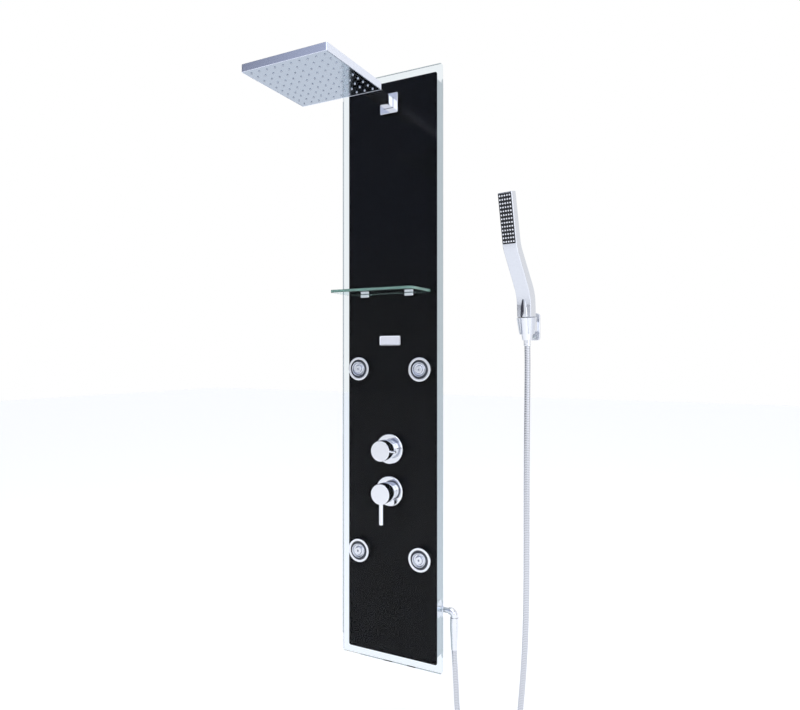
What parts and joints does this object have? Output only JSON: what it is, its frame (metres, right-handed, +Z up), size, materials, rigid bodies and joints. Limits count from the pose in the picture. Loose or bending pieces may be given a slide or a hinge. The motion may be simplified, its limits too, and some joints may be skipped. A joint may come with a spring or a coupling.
{
  "type": "shower panel column",
  "caption": "Wall-hung glass shower panel with rain head on an arm, shelf, swivelling body jets, diverter, lever mixer and a hand shower in its own wall holder.",
  "frame": {"origin": "on the wall plane, on the middle strap's rear face, behind the centre of the glass panel", "axes": "+X to the right along the wall, +Y into the wall, +Z up"},
  "size_m": [0.4545, 0.438, 1.46],
  "materials": {
    "clear_glass": "polished",
    "black_coat": "gloss",
    "sheet_metal": "brushed",
    "satin_silver": "satin",
    "chrome": "polished",
    "satin_head": "satin",
    "brass": "cast",
    "nylon": "matte",
    "silicone": "matte",
    "steel": "plain",
    "pipe": "satin",
    "hose_chrome": "ribbed",
    "chrome_plastic": "chrome plated",
    "dark_plastic": "gloss",
    "black_rubber": "matte"
  },
  "bodies": {
    "column": {"glass_panel": "clear_glass", "black_coat": "black_coat", "left_rail": "sheet_metal", "right_rail": "sheet_metal", "end_rails": "sheet_metal", "back_straps": "sheet_metal", "wall_bracket": "sheet_metal", "hanger_bar": "sheet_metal", "badge_plate": "satin_silver", "arm_flange": "chrome", "shower_arm": "chrome", "arm_nut": "brass", "arm_elbow": "brass", "arm_ball": "chrome", "shelf_glass": "clear_glass", "shelf_clips": "chrome", "shelf_clip_screws": "steel", "jet_bezels": "chrome", "jet_bodies": "brass", "jet_nuts": "brass", "diverter_rose": "chrome", "diverter_cartridge": "nylon", "mixer_rose": "chrome", "mixer_dome": "chrome", "mixer_cartridge": "nylon", "valve_body": "brass", "riser_pipe": "pipe", "jet_pipes": "pipe", "outlet_pipe": "pipe", "outlet_rose": "chrome", "outlet_elbow": "chrome", "elbow_hose_nut": "chrome", "shower_hose": "hose_chrome", "holder_cup": "chrome_plastic", "holder_plate": "chrome_plastic"},
    "head_cradle": {"head_seat": "nylon"},
    "head_cross": {"head_seat_ring": "nylon"},
    "rain_head": {"head_collar": "chrome", "head_shell": "satin_head", "head_faceplate": "chrome", "head_nozzles": "silicone"},
    "diverter": {"diverter_stem": "brass", "diverter_knob": "chrome", "diverter_pin": "chrome"},
    "mixer_turner": {"mixer_carrier": "nylon"},
    "mixer_handle": {"mixer_spindle": "brass", "mixer_knob": "chrome", "mixer_lever": "chrome"},
    "hose_end": {"handset_ferrule": "chrome"},
    "handset": {"handset_nut": "chrome", "handset_body": "chrome_plastic", "handset_spray_face": "black_rubber"},
    "jet_ring_upper_left": {"jet_ring_upper_left": "dark_plastic"},
    "jet_upper_left": {"jet_nozzle_upper_left": "chrome_plastic"},
    "jet_ring_upper_right": {"jet_ring_upper_right": "dark_plastic"},
    "jet_upper_right": {"jet_nozzle_upper_right": "chrome_plastic"},
    "jet_ring_lower_left": {"jet_ring_lower_left": "dark_plastic"},
    "jet_lower_left": {"jet_nozzle_lower_left": "chrome_plastic"},
    "jet_ring_lower_right": {"jet_ring_lower_right": "dark_plastic"},
    "jet_lower_right": {"jet_nozzle_lower_right": "chrome_plastic"}
  },
  "joints": [
    {"name": "head_tilt", "type": "hinge", "parent": "column", "child": "head_cradle", "pos_m": [0, -0.347, 0.549], "axis": [1, 0, 0], "range_deg": [-12, 12]},
    {"name": "head_rock", "type": "hinge", "parent": "head_cradle", "child": "head_cross", "pos_m": [0, -0.347, 0.549], "axis": [0, 1, 0], "range_deg": [-12, 12]},
    {"name": "head_spin", "type": "hinge", "parent": "head_cross", "child": "rain_head", "pos_m": [0, -0.347, 0.549], "axis": [0, 0, 1], "continuous": true},
    {"name": "jet_upper_left_tilt", "type": "hinge", "parent": "column", "child": "jet_ring_upper_left", "pos_m": [-0.076, -0.063, -0.002], "axis": [1, 0, 0], "range_deg": [-12, 12]},
    {"name": "jet_upper_left_swing", "type": "hinge", "parent": "jet_ring_upper_left", "child": "jet_upper_left", "pos_m": [-0.076, -0.063, -0.002], "axis": [0, 0, 1], "range_deg": [-12, 12]},
    {"name": "jet_upper_right_tilt", "type": "hinge", "parent": "column", "child": "jet_ring_upper_right", "pos_m": [0.076, -0.063, -0.002], "axis": [1, 0, 0], "range_deg": [-12, 12]},
    {"name": "jet_upper_right_swing", "type": "hinge", "parent": "jet_ring_upper_right", "child": "jet_upper_right", "pos_m": [0.076, -0.063, -0.002], "axis": [0, 0, 1], "range_deg": [-12, 12]},
    {"name": "jet_lower_left_tilt", "type": "hinge", "parent": "column", "child": "jet_ring_lower_left", "pos_m": [-0.076, -0.063, -0.411], "axis": [1, 0, 0], "range_deg": [-12, 12]},
    {"name": "jet_lower_left_swing", "type": "hinge", "parent": "jet_ring_lower_left", "child": "jet_lower_left", "pos_m": [-0.076, -0.063, -0.411], "axis": [0, 0, 1], "range_deg": [-12, 12]},
    {"name": "jet_lower_right_tilt", "type": "hinge", "parent": "column", "child": "jet_ring_lower_right", "pos_m": [0.076, -0.063, -0.411], "axis": [1, 0, 0], "range_deg": [-12, 12]},
    {"name": "jet_lower_right_swing", "type": "hinge", "parent": "jet_ring_lower_right", "child": "jet_lower_right", "pos_m": [0.076, -0.063, -0.411], "axis": [0, 0, 1], "range_deg": [-12, 12]},
    {"name": "diverter_turn", "type": "hinge", "parent": "column", "child": "diverter", "pos_m": [0, -0.058, -0.178], "axis": [0, 1, 0], "range_deg": [-90, 90]},
    {"name": "mixer_turn", "type": "hinge", "parent": "column", "child": "mixer_turner", "pos_m": [0, -0.0755, -0.271], "axis": [0, 1, 0], "range_deg": [-45, 45]},
    {"name": "mixer_lift", "type": "hinge", "parent": "mixer_turner", "child": "mixer_handle", "pos_m": [0, -0.0755, -0.271], "axis": [-1, 0, 0], "range_deg": [0, 20]},
    {"name": "handset_lift", "type": "slide", "parent": "column", "child": "hose_end", "axis": [0, -0.0872, 0.9962], "range_m": [0, 0.06]},
    {"name": "handset_turn", "type": "hinge", "parent": "hose_end", "child": "handset", "pos_m": [0.3095, -0.058, 0.1035], "axis": [0, -0.0872, 0.9962], "range_deg": [-40, 40]}
  ]
}
